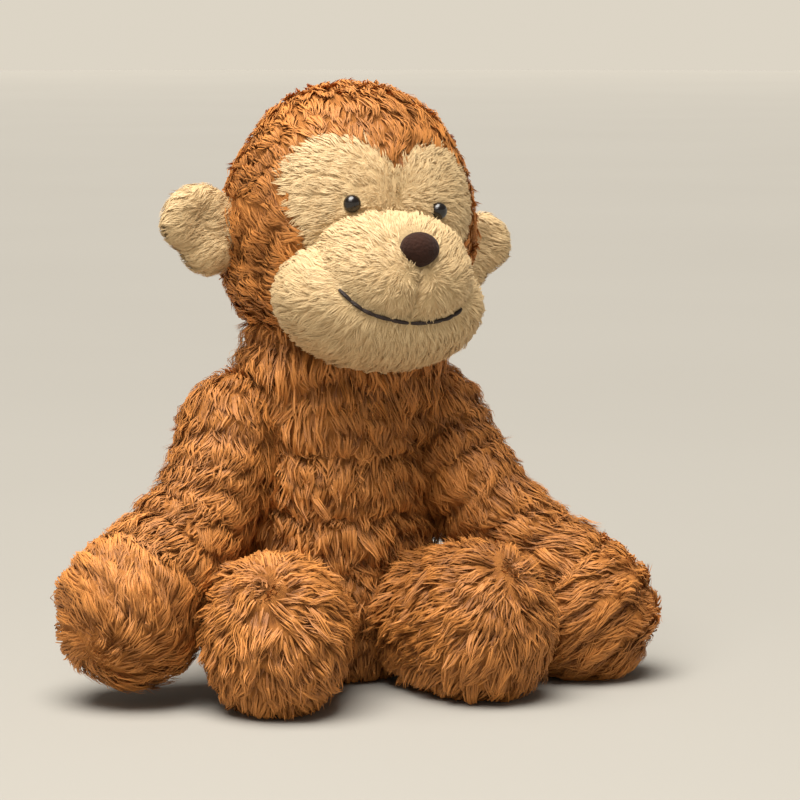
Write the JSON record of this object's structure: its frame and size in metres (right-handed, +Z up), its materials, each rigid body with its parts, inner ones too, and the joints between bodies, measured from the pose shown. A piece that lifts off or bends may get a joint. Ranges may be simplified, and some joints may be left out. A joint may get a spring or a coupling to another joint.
{
  "type": "stuffed monkey",
  "caption": "Small plush monkey that sits upright on a weighted seat, with floppy arms and legs, a head that turns and nods, ears that fold and a tail behind.",
  "frame": {"origin": "on the flat underside of the seat, at the plane the toy sits on, below the middle of the chest", "axes": "+Z up; the toy faces -Y; its own left hand is on the +X side"},
  "size_m": [0.1871, 0.1671, 0.1848],
  "materials": {
    "brown_plush": "long wavy pile",
    "cream_plush": "short dense pile",
    "nose_suede": "suede cloth",
    "eye_bead": "polished",
    "thread": "embroidery thread",
    "stuffing": "loose polyester fibre",
    "pouch_cloth": "plain calico",
    "lock_washer": "moulded",
    "label_cloth": "satin ribbon, blank"
  },
  "bodies": {
    "torso": {"torso_front_panel": "brown_plush", "torso_back_left_panel": "brown_plush", "torso_back_right_panel": "brown_plush", "seat_panel": "brown_plush", "torso_stuffing": "stuffing", "seat_pellet_pouch": "pouch_cloth", "care_label": "label_cloth"},
    "neck": {"neck_band": "brown_plush", "neck_stuffing": "stuffing"},
    "head": {"brow_panel": "cream_plush", "crown_left_panel": "brown_plush", "crown_right_panel": "brown_plush", "chin_panel": "cream_plush", "muzzle_panel": "cream_plush", "head_stuffing": "stuffing", "nose": "nose_suede", "eye_left": "eye_bead", "eye_left_washer": "lock_washer", "smile_left": "thread", "eye_right": "eye_bead", "eye_right_washer": "lock_washer", "smile_right": "thread"},
    "ear_left": {"ear_left_front": "cream_plush", "ear_left_back": "cream_plush"},
    "shoulder_left": {"shoulder_left_wad": "stuffing"},
    "arm_left": {"arm_left_outer_panel": "brown_plush", "arm_left_inner_panel": "brown_plush", "arm_left_stuffing": "stuffing", "hand_left_pellet_pouch": "pouch_cloth"},
    "hip_left": {"hip_left_wad": "stuffing"},
    "leg_left": {"leg_left_top_panel": "brown_plush", "leg_left_under_panel": "brown_plush", "foot_left_upper_sole_panel": "brown_plush", "foot_left_lower_sole_panel": "brown_plush", "leg_left_stuffing": "stuffing", "foot_left_pellet_pouch": "pouch_cloth"},
    "ear_right": {"ear_right_front": "cream_plush", "ear_right_back": "cream_plush"},
    "shoulder_right": {"shoulder_right_wad": "stuffing"},
    "arm_right": {"arm_right_outer_panel": "brown_plush", "arm_right_inner_panel": "brown_plush", "arm_right_stuffing": "stuffing", "hand_right_pellet_pouch": "pouch_cloth"},
    "hip_right": {"hip_right_wad": "stuffing"},
    "leg_right": {"leg_right_top_panel": "brown_plush", "leg_right_under_panel": "brown_plush", "foot_right_upper_sole_panel": "brown_plush", "foot_right_lower_sole_panel": "brown_plush", "leg_right_stuffing": "stuffing", "foot_right_pellet_pouch": "pouch_cloth"},
    "tail": {"tail_top_panel": "brown_plush", "tail_under_panel": "brown_plush", "tail_stuffing": "stuffing"}
  },
  "joints": [
    {"name": "neck_turn", "type": "hinge", "parent": "torso", "child": "neck", "pos_m": [0.003, -0.002, 0.101], "axis": [0, 0, 1], "range_deg": [-60, 60]},
    {"name": "head_nod", "type": "hinge", "parent": "neck", "child": "head", "pos_m": [0.003, -0.002, 0.101], "axis": [-1, 0, 0], "range_deg": [-14, 20]},
    {"name": "ear_left_fold", "type": "hinge", "parent": "head", "child": "ear_left", "pos_m": [0.04261, 0.00398, 0.13549], "axis": [-0.104, -0.005, -0.9946], "range_deg": [-20, 25], "stiffness_Nm_per_rad": 0.01},
    {"name": "shoulder_left_swing", "type": "hinge", "parent": "torso", "child": "shoulder_left", "pos_m": [0.034, -0.001, 0.082], "axis": [-1, 0, 0], "range_deg": [-30, 120]},
    {"name": "arm_left_raise", "type": "hinge", "parent": "shoulder_left", "child": "arm_left", "pos_m": [0.034, -0.001, 0.082], "axis": [0, -1, 0], "range_deg": [-3, 60]},
    {"name": "hip_left_lift", "type": "hinge", "parent": "torso", "child": "hip_left", "pos_m": [0.019, -0.019, 0.021], "axis": [-1, 0, 0], "range_deg": [-45, 25]},
    {"name": "leg_left_splay", "type": "hinge", "parent": "hip_left", "child": "leg_left", "pos_m": [0.019, -0.019, 0.021], "axis": [0, 0, 1], "range_deg": [-8, 3]},
    {"name": "ear_right_fold", "type": "hinge", "parent": "head", "child": "ear_right", "pos_m": [-0.03386, -0.00003, 0.14353], "axis": [0.104, 0.005, 0.9946], "range_deg": [-20, 25], "stiffness_Nm_per_rad": 0.01},
    {"name": "shoulder_right_swing", "type": "hinge", "parent": "torso", "child": "shoulder_right", "pos_m": [-0.034, -0.001, 0.082], "axis": [-1, 0, 0], "range_deg": [-30, 120]},
    {"name": "arm_right_raise", "type": "hinge", "parent": "shoulder_right", "child": "arm_right", "pos_m": [-0.034, -0.001, 0.082], "axis": [0, 1, 0], "range_deg": [-3, 60]},
    {"name": "hip_right_lift", "type": "hinge", "parent": "torso", "child": "hip_right", "pos_m": [-0.019, -0.019, 0.021], "axis": [-1, 0, 0], "range_deg": [-45, 25]},
    {"name": "leg_right_splay", "type": "hinge", "parent": "hip_right", "child": "leg_right", "pos_m": [-0.019, -0.019, 0.021], "axis": [0, 0, -1], "range_deg": [-8, 3]},
    {"name": "tail_swing", "type": "hinge", "parent": "torso", "child": "tail", "pos_m": [0, 0.031, 0.013], "axis": [0, 0, 1], "range_deg": [-35, 35]}
  ]
}
